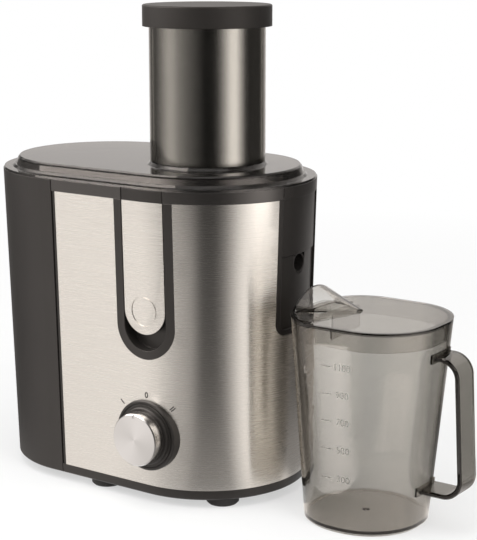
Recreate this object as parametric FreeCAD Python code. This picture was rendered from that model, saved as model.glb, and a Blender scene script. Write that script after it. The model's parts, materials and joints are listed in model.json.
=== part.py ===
import FreeCAD, Part
import math
import os

# Housing plan: a stadium, widest at the rim and drawn in towards the base. Millimetres, +Z up.
half_straight = 51.0
rim_radius = 87.4
wall_draft = 6.1
base_z = 5.5
base_height = 7.7
steel_top = 240.6
rim_height = 9.4
seam_x = -38.7
seam_gap = 0.6
edge_break = 0.9
steel_edge_gap = 3.4
band_z = base_z + base_height
rim_z = steel_top + rim_height

# Walls and clearances
steel_sheet = 0.8
glue_gap = 0.1
housing_wall = 2.5
slide_gap = 0.3
seat_gap = 0.1
running_gap = 0.05
pin_gap = 0.02
skin_inset = steel_sheet + glue_gap
inner_inset = skin_inset + housing_wall

# Rim ledge that carries the lid
ledge_width = 15.5
ledge_thick = 3.0
rim_wall = 3.0
lid_inset = 9.5

# Motor axis is the centre of the right-hand round end
axis_x = half_straight

# Upper deck under the juice collector
deck_thick = 3.0
deck_top = 179.0
deck_bore = 16.0
chute_wall_z = 224.0

# Lid and feed tube
lid_height = 10.0
lid_wall = 2.5
lid_slope = 2.5
lid_flange = 1.6
lid_flange_edge = 0.5
lid_cove = 1.8
lid_lip_step = 0.6
lid_lip_height = 2.4
lid_edge_round = 1.2
tube_radius = 46.0
tube_wall = 2.5
tube_top = 368.0
tube_bottom = 211.0
tube_collar = 2.2

# Pusher
cap_overhang = 5.0
cap_radius = tube_radius + cap_overhang
cap_height = 16.7
cap_round = 1.3
pusher_gap = 0.8
pusher_wall = 2.0
pusher_floor = 3.0
pusher_lift = 2.0
spigot_depth = 8.0

# Latches: rocking levers in U-shaped trays, front and rear
latch_half = 18.6
latch_gap = 0.7
tray_lip = 7.1
tray_low_z = 116.4
recess_low_z = 123.2
lever_low_z = 136.4
tray_room = 6.0
tray_back = 1.5
lever_depth = 6.9
hook_depth = 4.9
nose_depth = 9.4
lever_back_y = rim_radius - lever_depth
hook_back_y = rim_radius - hook_depth
tray_floor_y = lever_back_y - tray_room
hook_neck_z = 234.0
nose_low_z = 243.2
nose_thick = 3.0
nose_reach_y = rim_radius - nose_depth
nose_half = 17.0
tongue_half = 16.0
tongue_thick = 2.0
lip_reach = 3.5
lip_thick = 3.0
lip_drop = 0.7
strip_sheet = 0.8
strip_recess = 0.2
thumb_radius = 12.0
thumb_groove = 1.1
thumb_depth = 0.55
thumb_z = 154.8
pivot_z = 195.0
pivot_y = nose_reach_y
pivot_radius = 1.5
pivot_bite = 3.0
lug_radius = 3.0
lug_width = 5.0
lug_offset = 12.0
spring_wire = 0.35
spring_slack = 0.15
spring_radius = pivot_radius + spring_wire + spring_slack
spring_pitch = 1.3
spring_turns = 6

# Speed knob
knob_z = 54.9
knob_ring_radius = 28.3
knob_ring_proud = 3.0
knob_step_radius = 23.0
knob_step_height = 2.2
knob_groove_radius = 26.0
knob_groove = 0.9
knob_radius = 20.9
knob_proud = 16.9
knob_wall = 1.2
knob_edge = 0.8
knob_spigot_radius = 23.6
knob_spigot_depth = 6.0
knob_shaft_radius = 3.0
switch_half = 14.0
switch_depth = 18.0
switch_shaft_depth = 11.0
pointer_width = 2.2
pointer_length = 2.4
pointer_depth = 0.5

# Spout panel, a U-shaped inset on the right-hand end
panel_angle = 7.5
panel_half = 34.3
panel_low_z = 133.0
panel_corner = 10.0
panel_rib = 4.4
panel_recess = 1.2
apron_inset = 1.0
apron_wall = 2.4
apron_gap = 0.6
spout_z = 187.6
spout_y = 6.0
spout_radius = 8.2
spout_bury = 0.3
apron_low_z = spout_z + spout_radius - spout_bury
spout_bore = 6.9
spout_proud = -3.0

# Juice collector bowl
bowl_clear = 2.0
bowl_radius = tray_floor_y - tray_back - bowl_clear
bowl_wall = 2.2
bowl_rim_z = 238.5
bowl_floor = 2.5
flange_thick = 2.5
chimney_radius = 19.0
chimney_wall = 2.0
chimney_top = 190.0
chute_reach = 6.0
chute_half = 58.0

# Filter basket and grater
hub_radius = 22.0
hub_low_z = 191.5
hub_top_z = 203.0
hub_socket_depth = 8.0
basket_top_z = 236.0
basket_wall = 1.0
basket_slots = 24
slot_width = 1.6
slot_margin = 5.0
basket_rim = 3.5
basket_rim_height = 4.0
basket_run = 3.8
basket_top_radius = bowl_radius - bowl_wall - basket_run - basket_rim
tube_run = 1.5
basket_low_radius = tube_radius + tube_run
grater_edge = 3.5
grater_radius = basket_low_radius - grater_edge
grater_thick = 1.5
tooth_rows = 6
teeth_per_row = 5
tooth_first_radius = 12.0
tooth_step = 6.5
tooth_swirl = 14.0
tooth_length = 2.6
tooth_width = 1.8
tooth_height = 1.2
nut_radius = 7.0
nut_height = 5.0

# Motor
shaft_radius = 4.0
shaft_low_z = 44.0
mount_z = 44.0
mount_thick = 3.0
mount_radius = 6.0
post_radius = 5.0
post_circle = 45.0
bracket_radius = 52.0
bracket_thick = 6.0
bracket_vent_radius = 7.0
bracket_vent_circle = 30.0
stator_radius = 40.0
stator_bore = 24.0
stator_low_z = 68.0
stator_height = 40.0
pillar_radius = 4.0
coil_low_radius = 25.5
coil_high_radius = 33.0
coil_half_angle = 36.0
coil_overhang = 8.0
air_gap = 0.8
rotor_slots = 12
rotor_slot_width = 3.0
rotor_slot_depth = 9.0
commutator_radius = 11.0
commutator_height = 9.0
brush_gap = 0.3
brush_length = 11.0
brush_width = 6.0
holder_wall = 1.5
bearing_radius = 11.0
bearing_height = 6.0
fan_gap = 2.0
fan_hub_radius = 10.0
fan_blades = 9
fan_blade_thick = 1.4
fan_blade_height = 6.0
fan_plate = 1.5
seal_height = 4.0
coupling_radius = 12.0
coupling_low_z = 183.0
coupling_lugs = 3
coupling_lug = 3.0

# Base, feet, cord bushing and interlock switches
base_floor = 2.5
base_wall = 2.5
tongue_out = 19.0
tongue_half_width = 48.0
foot_height = 7.0
foot_radius = 13.0
foot_round = 1.5
foot_stem = 4.0
foot_spots = ((-5.5, 63.7), (-5.5, -63.7), (97.7, 46.3), (97.7, -46.3))
floor_z = base_z - foot_height
screw_x = -24.0
screw_angle = 20.0
screw_bury = 1.5
screw_head = 3.6
screw_shank = 1.8
screw_boss = 5.0
screw_length = 14.0
vent_count = 9
vent_pitch = 7.0
vent_width = 3.0
vent_length = 46.0
gland_x = 10.0
gland_z = 34.0
gland_flange = 9.0
gland_radius = 6.0
gland_bore = 3.6
gland_proud = 2.0
gland_depth = 12.0
interlock_width = 20.0
interlock_depth = 10.0
interlock_height = 18.0
interlock_y = 58.0

# Pulp container
container_wall = 2.5
container_floor = 6.0
container_notch_z = 226.0
container_notch_half = 70.0

# Juice jug
jug_x = 204.4
jug_y = -4.5
jug_height = 160.0
jug_base_radius = 47.2
jug_top_half_x = 57.0
jug_top_half_y = 55.0
jug_near_corner = 37.0
jug_far_corner = 48.0
jug_base_corner = 45.0
jug_shift_x = 4.3
jug_wall = 2.2
jug_floor = 3.0
jug_foot_wall = 2.0
jug_foot_rise = 1.2
jug_edge = 1.5
gate_radius = 3.0
gate_height = 1.2
jug_lid_plate = 2.2
jug_lid_skirt = 13.0
jug_lid_wall = 1.6
jug_lid_lip = 0.4
hood_half = 33.0
hood_height = 15.0
hood_length = 41.0
hood_tip_half = 5.0
hood_tip_height = 1.6
hood_wall = 1.8
hood_setback = 2.4
hood_opening_half = 24.0
hood_shift = 2.0
froth_wall = 1.4
froth_half = 20.0
froth_depth = 17.0
froth_set = 30.0
handle_width = 25.0
handle_shift = 2.5
handle_y = jug_y + handle_shift
handle_thick = 3.8
handle_edge = 1.0
handle_reach = 81.0
handle_outer_x = jug_x + handle_reach
handle_low_z = 29.6
handle_drop = 22.0
handle_high_z = jug_height - handle_drop
handle_corner = 16.0
handle_lean = 4.4
pad_width = 3.0
pad_thick = 1.6

far = 400.0


def vec(x, y, z):
    return FreeCAD.Vector(x, y, z)


def line(start, end):
    return Part.LineSegment(start, end).toShape()


def arc(start, middle, end):
    return Part.Arc(start, middle, end).toShape()


def box(x0, x1, y0, y1, z0, z1):
    return Part.makeBox(x1 - x0, y1 - y0, z1 - z0, vec(x0, y0, z0))


def cyl(radius, z0, z1, x=axis_x, y=0.0):
    return Part.makeCylinder(radius, z1 - z0, vec(x, y, z0))


def ring(outer, inner, z0, z1, x=axis_x, y=0.0):
    return cyl(outer, z0, z1, x, y).cut(cyl(inner, z0, z1, x, y))


def cyl_y(radius, y0, y1, x, z):
    return Part.makeCylinder(radius, y1 - y0, vec(x, y0, z), vec(0, 1, 0))


def cyl_x(radius, x0, x1, y, z):
    return Part.makeCylinder(radius, x1 - x0, vec(x0, y, z), vec(1, 0, 0))


def cone(r0, r1, z0, z1):
    return Part.makeCone(r0, r1, z1 - z0, vec(axis_x, 0, z0))


def fuse(shapes):
    first, rest = shapes[0], shapes[1:]
    return first.multiFuse(rest).removeSplitter() if rest else first


def turned(points, x=axis_x, y=0.0):
    wire = Part.makePolygon([vec(r, 0, z) for r, z in points + [points[0]]])
    solid = Part.Face(wire).revolve(vec(0, 0, 0), vec(0, 0, 1), 360)
    solid.translate(vec(x, y, 0))
    return solid


def spun(shape, angle):
    copy = shape.copy()
    copy.rotate(vec(axis_x, 0, 0), vec(0, 0, 1), angle)
    return copy


def rear(shape):
    return shape.mirror(vec(0, 0, 0), vec(0, 1, 0))


def end_radius(z):
    return rim_radius - wall_draft * (rim_z - z) / (rim_z - band_z)


def stadium(z, radius):
    a = half_straight
    return Part.Wire([
        line(vec(-a, -radius, z), vec(a, -radius, z)),
        arc(vec(a, -radius, z), vec(a + radius, 0, z), vec(a, radius, z)),
        line(vec(a, radius, z), vec(-a, radius, z)),
        arc(vec(-a, radius, z), vec(-a - radius, 0, z), vec(-a, -radius, z))])


def stadium_loft(stations):
    return Part.makeLoft([stadium(z, radius) for z, radius in stations], True, True)


def wall_block(z0, z1, inset):
    return stadium_loft([(z0, end_radius(z0) - inset), (z1, end_radius(z1) - inset)])


# The same block with its lowest edge broken
def broken_block(z0, z1):
    return stadium_loft([(z0, end_radius(z0) - edge_break), (z0 + edge_break, end_radius(z0 + edge_break)),
                         (z1, end_radius(z1))])


def wall_shell(z0, z1, outer, inner):
    return wall_block(z0, z1, outer).cut(wall_block(z0, z1, inner))


def right_of(shape, x):
    return shape.common(box(x, far, -far, far, -far, far))


def left_of(shape, x):
    return shape.common(box(-far, x, -far, far, -far, far))


def u_prism(centre_x, half, low_z, high_z, y0, y1, corner):
    left, right, bend = centre_x - half, centre_x + half, low_z + corner
    lean = corner * (1 - math.sqrt(0.5))
    edges = [
        line(vec(right, y0, high_z), vec(left, y0, high_z)),
        line(vec(left, y0, high_z), vec(left, y0, bend)),
        arc(vec(left, y0, bend), vec(left + lean, y0, low_z + lean),
                 vec(left + corner, y0, low_z))]
    if corner < half:
        edges.append(line(vec(left + corner, y0, low_z), vec(right - corner, y0, low_z)))
    edges.append(arc(vec(right - corner, y0, low_z), vec(right - lean, y0, low_z + lean),
                          vec(right, y0, bend)))
    edges.append(line(vec(right, y0, bend), vec(right, y0, high_z)))
    return Part.Face(Part.Wire(edges)).extrude(vec(0, y1 - y0, 0))


def latch_u(half, low_z, high_z, back_y):
    return u_prism(axis_x, half, low_z, high_z, -rim_radius - gland_flange, -back_y, half)


def panel_u(shrink, low_z, high_z):
    corner = panel_corner - shrink
    prism = u_prism(0.0, panel_half - shrink, low_z, high_z, -far, 0.0, corner)
    prism.rotate(vec(0, 0, 0), vec(0, 0, 1), 90 + panel_angle)
    prism.translate(vec(axis_x, 0, 0))
    return prism


def panel_strip(shrink, low_z, high_z):
    half = panel_half - shrink
    strip = box(-half, half, -far, 0, low_z, high_z)
    strip.rotate(vec(0, 0, 0), vec(0, 0, 1), 90 + panel_angle)
    strip.translate(vec(axis_x, 0, 0))
    return strip


housing_x = seam_x + seam_gap / 2
container_x = seam_x - seam_gap / 2
steel_x = housing_x + steel_edge_gap
tray_half = latch_half + latch_gap + tray_lip
recess_half = latch_half + latch_gap
face_y = end_radius(knob_z)


screw_reach = end_radius(band_z) - inner_inset - screw_boss + screw_bury
screw_end_x = axis_x + screw_reach * math.cos(math.radians(screw_angle))
screw_end_y = screw_reach * math.sin(math.radians(screw_angle))
screw_spots = ((screw_x, screw_reach), (screw_x, -screw_reach), (screw_end_x, screw_end_y),
               (screw_end_x, -screw_end_y))


def both_sides(shape):
    return [shape, rear(shape)]


# Base plate: a tray with vents, posts for the motor, and a tongue that the pulp container rests on
def base_plate():
    outer = right_of(broken_block(base_z, band_z), housing_x)
    inner = right_of(wall_block(base_z + base_floor, band_z, base_wall), housing_x + base_wall)
    tray = outer.cut(inner)
    tongue = box(housing_x - tongue_out, housing_x + base_wall, -tongue_half_width, tongue_half_width,
                 base_z, base_z + base_floor)
    solids = [tray, tongue]
    solids += [cyl(post_radius, base_z, mount_z, *post) for post in motor_posts()]
    solids += [cyl(screw_boss, base_z, band_z, x, y) for x, y in screw_spots]
    plate = fuse(solids)
    for index in range(vent_count):
        x = axis_x + (index - (vent_count - 1) / 2) * vent_pitch
        plate = plate.cut(box(x - vent_width / 2, x + vent_width / 2, -vent_length / 2, vent_length / 2,
                              base_z, base_z + base_floor))
    for x, y in foot_spots:
        plate = plate.cut(cyl(foot_stem + seat_gap, base_z, band_z, x, y))
    for x, y in screw_spots:
        plate = plate.cut(cyl(screw_shank + seat_gap, base_z, band_z, x, y))
        plate = plate.cut(cyl(screw_head + seat_gap, base_z, base_z + base_floor, x, y))
    return plate


def motor_posts():
    angles = [math.radians(45 + 90 * index) for index in range(4)]
    return [(axis_x + post_circle * math.cos(a), post_circle * math.sin(a)) for a in angles]


def rubber_feet():
    feet = []
    for x, y in foot_spots:
        foot = turned([(0, floor_z), (foot_radius - foot_round, floor_z), (foot_radius, floor_z + foot_round),
                       (foot_radius, base_z), (foot_stem, base_z),
                       (foot_stem, band_z - seat_gap), (0, band_z - seat_gap)], x, y)
        feet.append(foot)
    return Part.makeCompound(feet)


def base_screws():
    screws = []
    for x, y in screw_spots:
        head_top = base_z + base_floor
        screws.append(fuse([cyl(screw_head, head_top - base_floor + seat_gap, head_top, x, y),
                            cyl(screw_shank, head_top - seat_gap, head_top + screw_length, x, y)]))
    return Part.makeCompound(screws)


# Inner housing: drafted shell, flat wall facing the container, and the deck that carries the collector
def motor_housing():
    outer = right_of(wall_block(band_z, steel_top, skin_inset), housing_x)
    inner = wall_block(band_z, steel_top, inner_inset)
    shell = outer.cut(inner)
    end_wall = inner.common(box(housing_x, housing_x + housing_wall, -far, far, band_z, chute_wall_z))
    deck = inner.common(box(housing_x, far, -far, far, deck_top - deck_thick, deck_top))
    bosses = [cyl(screw_boss, band_z, band_z + screw_length, x, y) for x, y in screw_spots]
    rib = wall_shell(panel_low_z, steel_top, 0, skin_inset + seat_gap)
    rib = rib.common(panel_u(seat_gap * 3, panel_low_z + seat_gap * 3, steel_top))
    rib = rib.cut(panel_u(panel_rib, panel_low_z + panel_rib, steel_top))
    body = fuse([shell, end_wall, deck, rib] + bosses)
    recess = wall_shell(panel_low_z, steel_top, 0, skin_inset + panel_recess)
    body = body.cut(recess.common(panel_u(panel_rib, panel_low_z + panel_rib, steel_top)))
    hatch = panel_strip(panel_rib, apron_low_z - apron_gap, steel_top)
    body = body.cut(hatch.common(right_of(outer, axis_x + bowl_radius)))
    body = body.cut(cyl_x(spout_radius + slide_gap, axis_x, far, spout_y, spout_z))
    body = body.cut(box(axis_x + bowl_radius, far, spout_y - spout_radius - slide_gap,
                        spout_y + spout_radius + slide_gap, spout_z, apron_low_z))
    tray_rear = tray_floor_y - tray_back - seat_gap
    tray = latch_u(tray_half + seat_gap, tray_low_z - seat_gap, steel_top, tray_rear)
    for cutter in both_sides(tray):
        body = body.cut(cutter)
    body = body.cut(cyl_y(knob_spigot_radius + seat_gap, -far, -interlock_y, axis_x, knob_z))
    body = body.cut(cyl_y(gland_radius + seat_gap, interlock_y, far, gland_x, gland_z))
    body = body.cut(cyl(deck_bore, deck_top - deck_thick, deck_top))
    for x, y in screw_spots:
        body = body.cut(cyl(screw_shank + seat_gap, band_z, band_z + screw_length, x, y))
    return body


# Brushed sheet wrapped round the front, the right-hand end and the rear
def steel_wrap():
    sheet = right_of(wall_shell(band_z, steel_top, 0, steel_sheet), steel_x)
    tray = latch_u(tray_half + seat_gap, tray_low_z - seat_gap, steel_top, interlock_y)
    for cutter in both_sides(tray):
        sheet = sheet.cut(cutter)
    sheet = sheet.cut(cyl_y(knob_ring_radius + seat_gap, -far, -interlock_y, axis_x, knob_z))
    sheet = sheet.cut(cyl_y(gland_radius + seat_gap, interlock_y, far, gland_x, gland_z))
    return sheet.cut(panel_u(0, panel_low_z, steel_top))


def rim_profile():
    wall = wall_shell(steel_top, rim_z, 0, rim_wall)
    ledge = wall_shell(rim_z - ledge_thick, rim_z, 0, ledge_width)
    return fuse([wall, ledge])


def rim_ring():
    rim = right_of(rim_profile(), housing_x)
    rim = rim.cut(panel_strip(panel_rib - slide_gap, steel_top, rim_z).common(
        box(axis_x, far, -far, far, steel_top, rim_z)))
    notch_back = rim_radius - lid_inset - lid_wall - slide_gap
    notch = box(axis_x - recess_half, axis_x + recess_half, -far, -notch_back, steel_top, rim_z)
    for cutter in both_sides(notch):
        rim = rim.cut(cutter)
    return rim


def front_rim():
    return rim_ring().common(box(-far, far, -far, 0, steel_top, rim_z))


def rear_rim():
    return rim_ring().common(box(-far, far, 0, far, steel_top, rim_z))


# Latch tray, lever, facing strip, pin and spring, all drawn for the front side
def latch_tray():
    block = latch_u(tray_half, tray_low_z, steel_top, tray_floor_y - tray_back)
    block = block.common(wall_block(base_z, rim_z, 0))
    block = block.cut(latch_u(recess_half, recess_low_z, steel_top, tray_floor_y))
    return block.cut(pivot(pivot_radius + pin_gap))


def pivot(radius):
    reach = recess_half + pivot_bite
    return cyl_x(radius, axis_x - reach, axis_x + reach, -pivot_y, pivot_z)


def latch_lever():
    front = wall_block(base_z, rim_z, strip_recess + strip_sheet)
    plate = latch_u(latch_half, lever_low_z, steel_top, lever_back_y).common(front)
    plate = plate.cut(box(axis_x - far, axis_x + far, -hook_back_y, 0, hook_neck_z, rim_z))
    hook = box(axis_x - latch_half, axis_x + latch_half, -far, -hook_back_y, steel_top, rim_z - slide_gap)
    hook = hook.common(wall_block(base_z, rim_z, strip_recess))
    nose = box(axis_x - nose_half, axis_x + nose_half, -hook_back_y - rim_wall / 2, -nose_reach_y,
               nose_low_z, nose_low_z + nose_thick)
    lugs = []
    for side in (-1, 1):
        x = axis_x + side * lug_offset
        lugs.append(cyl_x(lug_radius, x - lug_width / 2, x + lug_width / 2, -pivot_y, pivot_z))
        lugs.append(box(x - lug_width / 2, x + lug_width / 2, -lever_back_y - pivot_radius, -pivot_y,
                        pivot_z - lug_radius, pivot_z + lug_radius))
    return fuse([plate, hook, nose] + lugs).cut(pivot(pivot_radius + running_gap))


def latch_strip():
    sheet = wall_shell(base_z, rim_z, strip_recess, strip_recess + strip_sheet)
    strip = latch_u(latch_half, lever_low_z, steel_top - seat_gap, lever_back_y).common(sheet)
    groove = cyl_y(thumb_radius, -far, 0, axis_x, thumb_z)
    groove = groove.cut(cyl_y(thumb_radius - thumb_groove, -far, 0, axis_x, thumb_z))
    skin = wall_shell(base_z, rim_z, strip_recess - thumb_depth, strip_recess + thumb_depth)
    return strip.cut(groove.common(skin).common(box(0, far, -far, 0, base_z, rim_z)))


def latch_spring():
    height = spring_pitch * spring_turns
    helix = Part.makeHelix(spring_pitch, height, spring_radius)
    profile = Part.Wire(Part.makeCircle(spring_wire, vec(spring_radius, 0, 0), vec(0, 1, 0)))
    coil = Part.Wire(helix).makePipeShell([profile], True, True)
    coil.rotate(vec(0, 0, 0), vec(0, 1, 0), 90)
    coil.translate(vec(axis_x - height / 2, -pivot_y, pivot_z))
    return coil


# Speed knob, its fixed ring and the rotary switch behind it
def knob_ring():
    front = -face_y - knob_ring_proud
    disc = cyl_y(knob_ring_radius, front, -interlock_y, axis_x, knob_z)
    disc = disc.cut(wall_block(base_z, rim_z, skin_inset - seat_gap))
    step = cyl_y(knob_step_radius, front - knob_step_height, front, axis_x, knob_z)
    spigot = cyl_y(knob_spigot_radius, front, spigot_back_y(), axis_x, knob_z)
    body = fuse([break_front(disc, front), break_front(step, front - knob_step_height), spigot])
    groove = cyl_y(knob_groove_radius, front, front + knob_groove, axis_x, knob_z)
    groove = groove.cut(cyl_y(knob_groove_radius - knob_groove, front, front + knob_groove, axis_x, knob_z))
    body = body.cut(groove)
    return body.cut(cyl_y(knob_shaft_radius + running_gap, -far, 0, axis_x, knob_z))


def break_front(disc, front):
    rim = [edge for edge in disc.Edges if abs(edge.BoundBox.YMax - front) < seat_gap and edge.Closed]
    return disc.makeChamfer(knob_edge, rim)


def spigot_back_y():
    return -face_y + knob_spigot_depth


def knob_back_y():
    return -face_y - knob_ring_proud - knob_step_height - slide_gap


def knob_cap():
    front, back = -face_y - knob_proud, knob_back_y()
    shell = cyl_y(knob_radius, front, back, axis_x, knob_z)
    shell = break_front(shell, front)
    shell = shell.cut(cyl_y(knob_radius - knob_wall, front + knob_wall, back, axis_x, knob_z))
    pointer = box(axis_x - pointer_width / 2, axis_x + pointer_width / 2, front, front + pointer_depth,
                  knob_z + knob_radius - knob_edge - pointer_length, knob_z + knob_radius + knob_edge)
    return shell.cut(pointer)


def knob_core():
    front, back = -face_y - knob_proud + knob_wall, knob_back_y()
    core = cyl_y(knob_radius - knob_wall - seat_gap, front, back, axis_x, knob_z)
    return core.cut(cyl_y(knob_shaft_radius + pin_gap, front + knob_wall, back, axis_x, knob_z))


def knob_shaft():
    front = -face_y - knob_proud + knob_wall * 2
    return cyl_y(knob_shaft_radius, front, spigot_back_y() + switch_shaft_depth, axis_x, knob_z)


def rotary_switch():
    y0 = spigot_back_y()
    body = box(axis_x - switch_half, axis_x + switch_half, y0, y0 + switch_depth,
               knob_z - switch_half, knob_z + switch_half)
    bore = cyl_y(knob_shaft_radius + running_gap, y0, y0 + switch_shaft_depth + slide_gap, axis_x, knob_z)
    return body.cut(bore)


# Juice collector: bowl, flange, pulp chute, outer apron and spout in one moulding
def juice_collector():
    bowl = turned([(chimney_radius - chimney_wall, deck_top), (bowl_radius, deck_top),
                   (bowl_radius, bowl_rim_z), (bowl_radius - bowl_wall, bowl_rim_z),
                   (bowl_radius - bowl_wall, deck_top + bowl_floor), (chimney_radius, deck_top + bowl_floor),
                   (chimney_radius, chimney_top), (chimney_radius - chimney_wall, chimney_top)])
    flange_low = bowl_rim_z - flange_thick
    flange = right_of(wall_block(flange_low, bowl_rim_z, ledge_width + slide_gap * 2), housing_x)
    chute = box(container_x - chute_reach, axis_x, -chute_half, chute_half, flange_low, bowl_rim_z)
    link = wall_block(flange_low, bowl_rim_z, apron_inset + apron_wall / 2)
    link = right_of(link, axis_x + bowl_radius / 2)
    link = link.common(panel_strip(panel_rib + slide_gap, flange_low, bowl_rim_z))
    web = wall_shell(bowl_rim_z - flange_thick, rim_z, ledge_width - rim_wall, ledge_width)
    strip = panel_strip(panel_rib + slide_gap, apron_low_z, rim_z)
    end_half = box(axis_x, far, -far, far, apron_low_z, rim_z)
    apron = wall_shell(apron_low_z, steel_top + rim_wall, apron_inset, apron_inset + apron_wall)
    shell = fuse([apron, rim_profile(), web]).common(strip).common(end_half)
    mid_wall = bowl_radius - bowl_wall / 2
    top = fuse([flange, chute, link]).cut(cyl(mid_wall, flange_low, bowl_rim_z))
    spout_end = axis_x + end_radius(spout_z) + spout_proud
    spout = cyl_x(spout_radius, axis_x + mid_wall, spout_end, spout_y, spout_z)
    body = fuse([bowl, top, shell, spout])
    return body.cut(cyl_x(spout_bore, axis_x + chimney_radius * 2, spout_end, spout_y, spout_z))


# Filter basket with its hub, rim and grater, driven through the coupling
def filter_hub():
    hub = fuse([cyl(hub_radius, hub_low_z, hub_top_z),
                ring(basket_low_radius, hub_radius - basket_wall, hub_top_z - pusher_floor, hub_top_z)])
    hub = hub.cut(coupling_form(slide_gap, hub_low_z, hub_low_z + hub_socket_depth))
    return hub.cut(cyl(shaft_radius + slide_gap, hub_low_z, hub_top_z))


def filter_basket():
    outer = cone(basket_low_radius, basket_top_radius, hub_top_z, basket_top_z)
    inner = cone(basket_low_radius - basket_wall, basket_top_radius - basket_wall, hub_top_z, basket_top_z)
    wall = outer.cut(inner)
    slot = box(axis_x + grater_radius, axis_x + bowl_radius, -slot_width / 2, slot_width / 2,
               hub_top_z + slot_margin, basket_top_z - slot_margin)
    slots = [spun(slot, 360.0 * index / basket_slots) for index in range(basket_slots)]
    return wall.cut(Part.makeCompound(slots))


def filter_rim():
    inner = basket_top_radius - basket_wall
    outer = basket_top_radius + basket_rim
    top = basket_top_z + basket_rim_height
    return turned([(inner, basket_top_z), (outer, basket_top_z), (outer, top - basket_rim_height / 2),
                   (basket_top_radius, top), (inner, top)])


def grater_disc():
    low = hub_top_z
    top = low + grater_thick
    disc = ring(grater_radius, shaft_radius + slide_gap, low, top)
    teeth = []
    for row in range(tooth_rows):
        for step in range(teeth_per_row):
            radius = tooth_first_radius + step * tooth_step
            start = vec(axis_x + radius, 0, top - grater_thick / 2)
            tooth = Part.makeWedge(0, 0, 0, tooth_width / 2, 0, tooth_width, grater_thick / 2 + tooth_height,
                                   tooth_length, tooth_width / 2, tooth_width)
            tooth.rotate(vec(0, 0, 0), vec(1, 0, 0), 90)
            tooth.translate(start)
            teeth.append(spun(tooth, 360.0 * row / tooth_rows + step * tooth_swirl))
    return fuse([disc] + teeth)


def filter_nut():
    top = hub_top_z + grater_thick
    nut = turned([(shaft_radius + running_gap, top), (nut_radius, top), (nut_radius, top + nut_height / 2),
                  (shaft_radius + running_gap, top + nut_height)])
    return nut


def coupling_form(grow, z0, z1):
    core = cyl(coupling_radius + grow, z0, z1)
    lug = box(axis_x, axis_x + coupling_radius + coupling_lug + grow,
              -coupling_lug - grow, coupling_lug + grow, z0, z1)
    return fuse([core] + [spun(lug, 360.0 * index / coupling_lugs) for index in range(coupling_lugs)])


def drive_coupling():
    body = coupling_form(0, coupling_low_z, hub_low_z + hub_socket_depth - slide_gap)
    return body.cut(cyl(shaft_radius + pin_gap, coupling_low_z, hub_top_z))


# Universal motor on rubber mounts
def motor_mounts():
    top = mount_z + mount_thick
    return Part.makeCompound([cyl(mount_radius, mount_z, top, *post) for post in motor_posts()])


def bracket(z0, pillar_low, pillar_high, bearing_z):
    plate = cyl(bracket_radius, z0, z0 + bracket_thick)
    pillars = [cyl(pillar_radius, pillar_low, pillar_high, *spot) for spot in stator_spots()]
    seat = cyl(bearing_radius + housing_wall, bearing_z - seat_gap, bearing_z + bearing_height)
    body = fuse([plate, seat] + pillars)
    body = body.cut(cyl(bearing_radius + pin_gap, bearing_z, bearing_z + bearing_height))
    body = body.cut(cyl(shaft_radius * 2, z0 - far, z0 + far))
    for index in range(4):
        vent = cyl(bracket_vent_radius, z0, z0 + bracket_thick, axis_x + bracket_vent_circle)
        body = body.cut(spun(vent, 90 * index))
    return body


def stator_spots():
    circle = stator_radius - pillar_radius
    angles = [math.radians(45 + 90 * index) for index in range(4)]
    return [(axis_x + circle * math.cos(a), circle * math.sin(a)) for a in angles]


stator_top_z = stator_low_z + stator_height
fan_radius = stator_radius - pillar_radius * 2 - fan_gap
lower_bracket_z = mount_z + mount_thick
lower_bracket_top = lower_bracket_z + bracket_thick
upper_bracket_z = stator_top_z + coil_overhang + fan_plate + fan_blade_height + fan_blade_thick * 3
upper_bearing_z = upper_bracket_z
lower_bearing_z = lower_bracket_z


def lower_bracket():
    return bracket(lower_bracket_z, lower_bracket_top - seat_gap, stator_low_z, lower_bearing_z)


def upper_bracket():
    return bracket(upper_bracket_z, stator_top_z, upper_bracket_z + seat_gap, upper_bearing_z)


def coil_segment(grow, z0, z1):
    half = coil_half_angle + grow
    face = ring(coil_high_radius + grow, coil_low_radius - grow, z0, z1)
    reach = vec(far, 0, 0)
    corners = [vec(axis_x, 0, z0), vec(axis_x, 0, z0) + spin_vector(reach, -half),
               vec(axis_x, 0, z0) + spin_vector(reach, 0), vec(axis_x, 0, z0) + spin_vector(reach, half)]
    sector = Part.Face(Part.makePolygon(corners + [corners[0]])).extrude(vec(0, 0, z1 - z0))
    return face.common(sector)


def spin_vector(vector, angle):
    return FreeCAD.Rotation(vec(0, 0, 1), angle).multVec(vector)


def stator_core():
    core = ring(stator_radius, stator_bore, stator_low_z, stator_top_z)
    for angle in (0, 180):
        core = core.cut(spun(coil_segment(slide_gap, stator_low_z, stator_top_z), angle))
    return core


def field_coils():
    coil = coil_segment(0, stator_low_z - coil_overhang, stator_top_z + coil_overhang)
    return Part.makeCompound([spun(coil, angle) for angle in (0, 180)])


def rotor_core():
    core = ring(stator_bore - air_gap, shaft_radius + pin_gap, stator_low_z, stator_top_z)
    slot = box(axis_x + stator_bore - rotor_slot_depth, axis_x + stator_bore, -rotor_slot_width / 2,
               rotor_slot_width / 2, stator_low_z, stator_top_z)
    slots = [spun(slot, 360.0 * index / rotor_slots) for index in range(rotor_slots)]
    return core.cut(Part.makeCompound(slots))


commutator_low = lower_bracket_top + housing_wall


def commutator():
    return ring(commutator_radius, shaft_radius + pin_gap, commutator_low, commutator_low + commutator_height)


def carbon_brushes():
    low = commutator_low + holder_wall
    y0 = commutator_radius + brush_gap
    brush = box(axis_x - brush_width / 2, axis_x + brush_width / 2, y0, y0 + brush_length,
                low, low + brush_width)
    return Part.makeCompound([brush, spun(brush, 180)])


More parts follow.
